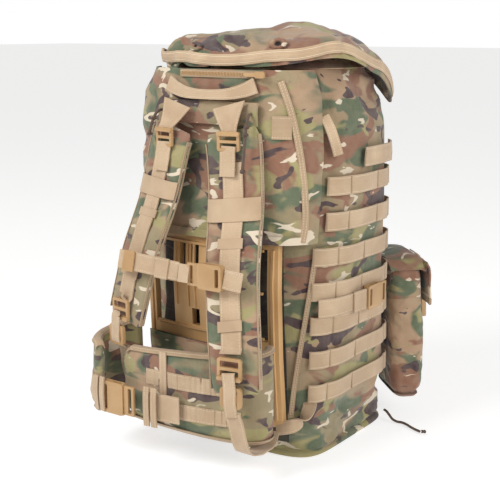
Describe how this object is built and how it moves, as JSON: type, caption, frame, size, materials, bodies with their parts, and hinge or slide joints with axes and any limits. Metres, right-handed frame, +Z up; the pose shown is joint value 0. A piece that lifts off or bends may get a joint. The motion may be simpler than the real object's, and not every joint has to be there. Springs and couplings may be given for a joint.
{
  "type": "framed rucksack",
  "caption": "Framed field rucksack with a lidded cloth bag, moulded slatted frame, padded shoulder harness, hip belt, webbing rows and side pouches.",
  "frame": {"origin": "middle of the bag's flat base", "axes": "+Z up the bag, -Y towards the wearer's back, +X across the bag"},
  "size_m": [0.4473, 0.4621, 0.588],
  "materials": {
    "cloth": "printed woven nylon in four earth tones",
    "webbing": "ribbed tan nylon webbing",
    "plastic": "satin moulded tan polymer",
    "hardware": "satin moulded tan acetal",
    "cord": "braided brown cord"
  },
  "bodies": {
    "root": {"frame": "plastic", "bag_base": "cloth", "bag_back_panel": "cloth", "bag_front_panel": "cloth", "bag_left_panel": "cloth", "bag_right_panel": "cloth", "collar": "cloth", "frame_sleeve": "cloth", "yoke_panel": "cloth", "zip_track": "webbing", "webbing_right": "webbing", "webbing_left": "webbing", "webbing_rear": "webbing", "lumbar_pad": "cloth", "belt_wing_right": "cloth", "belt_wing_left": "cloth", "waist_buckle_socket": "hardware", "waist_web": "webbing", "lower_web_right": "webbing", "lower_web_left": "webbing", "compression_socket_right": "hardware", "compression_socket_left": "hardware", "compression_web_right": "webbing", "compression_web_left": "webbing", "upper_strap_right": "webbing", "upper_strap_left": "webbing", "pouch_body_right": "cloth", "pouch_body_left": "cloth", "base_drawcord": "cord", "base_drawcord_knot": "cord"},
    "lid": {"lid_shell": "cloth", "lid_band": "webbing"},
    "handle": {"grab_handle": "webbing"},
    "zip_slider": {"zip_slider": "hardware"},
    "harness": {"shoulder_pad_right": "cloth", "shoulder_pad_left": "cloth", "pad_web_right": "webbing", "pad_web_left": "webbing", "lifter_web_right": "webbing", "lifter_web_left": "webbing", "lifter_lock_right": "hardware", "lifter_lock_left": "hardware", "lower_lock_right": "hardware", "lower_lock_left": "hardware", "release_fitting_right": "hardware", "release_fitting_left": "hardware", "pull_cord_right": "cord", "pull_cord_left": "cord"},
    "sternum": {"sternum_web_left": "webbing", "sternum_web_right": "webbing", "sternum_buckle_socket": "hardware"},
    "sternum_plug": {"sternum_buckle_plug": "hardware"},
    "waist_plug": {"waist_buckle_plug": "hardware"},
    "compression_plug_right": {"compression_plug_right": "hardware"},
    "compression_plug_left": {"compression_plug_left": "hardware"},
    "flap_right": {"pouch_flap_right": "cloth", "pouch_buckle_right": "hardware"},
    "flap_left": {"pouch_flap_left": "cloth", "pouch_buckle_left": "hardware"}
  },
  "joints": [
    {"name": "lid_hinge", "type": "hinge", "parent": "root", "child": "lid", "pos_m": [0, -0.152, 0.541], "axis": [1, 0, 0], "range_deg": [0, 110]},
    {"name": "handle_hinge", "type": "hinge", "parent": "root", "child": "handle", "pos_m": [0, -0.1555, 0.52], "axis": [-1, 0, 0], "range_deg": [0, 100]},
    {"name": "zip_travel", "type": "slide", "parent": "root", "child": "zip_slider", "axis": [-1, 0, 0], "range_m": [0, 0.12]},
    {"name": "harness_swing", "type": "hinge", "parent": "root", "child": "harness", "pos_m": [0, -0.158, 0.492], "axis": [-1, 0, 0], "range_deg": [0, 12]},
    {"name": "sternum_height", "type": "slide", "parent": "harness", "child": "sternum", "axis": [0, 0.1959, 0.9806], "range_m": [-0.02, 0.02]},
    {"name": "sternum_release", "type": "slide", "parent": "sternum", "child": "sternum_plug", "axis": [-1, 0, 0], "range_m": [0, 0.015]},
    {"name": "waist_release", "type": "slide", "parent": "root", "child": "waist_plug", "axis": [1, 0, 0], "range_m": [0, 0.017]},
    {"name": "compression_release_right", "type": "slide", "parent": "root", "child": "compression_plug_right", "axis": [0, 1, 0], "range_m": [0, 0.018]},
    {"name": "compression_release_left", "type": "slide", "parent": "root", "child": "compression_plug_left", "axis": [0, 1, 0], "range_m": [0, 0.018]},
    {"name": "pouch_flap_right_hinge", "type": "hinge", "parent": "root", "child": "flap_right", "pos_m": [0.1209, 0.1129, 0.2504], "axis": [0.7071, -0.7071, 0], "range_deg": [0, 38]},
    {"name": "pouch_flap_left_hinge", "type": "hinge", "parent": "root", "child": "flap_left", "pos_m": [-0.1209, 0.1129, 0.2504], "axis": [0.7071, 0.7071, 0], "range_deg": [0, 85]}
  ]
}
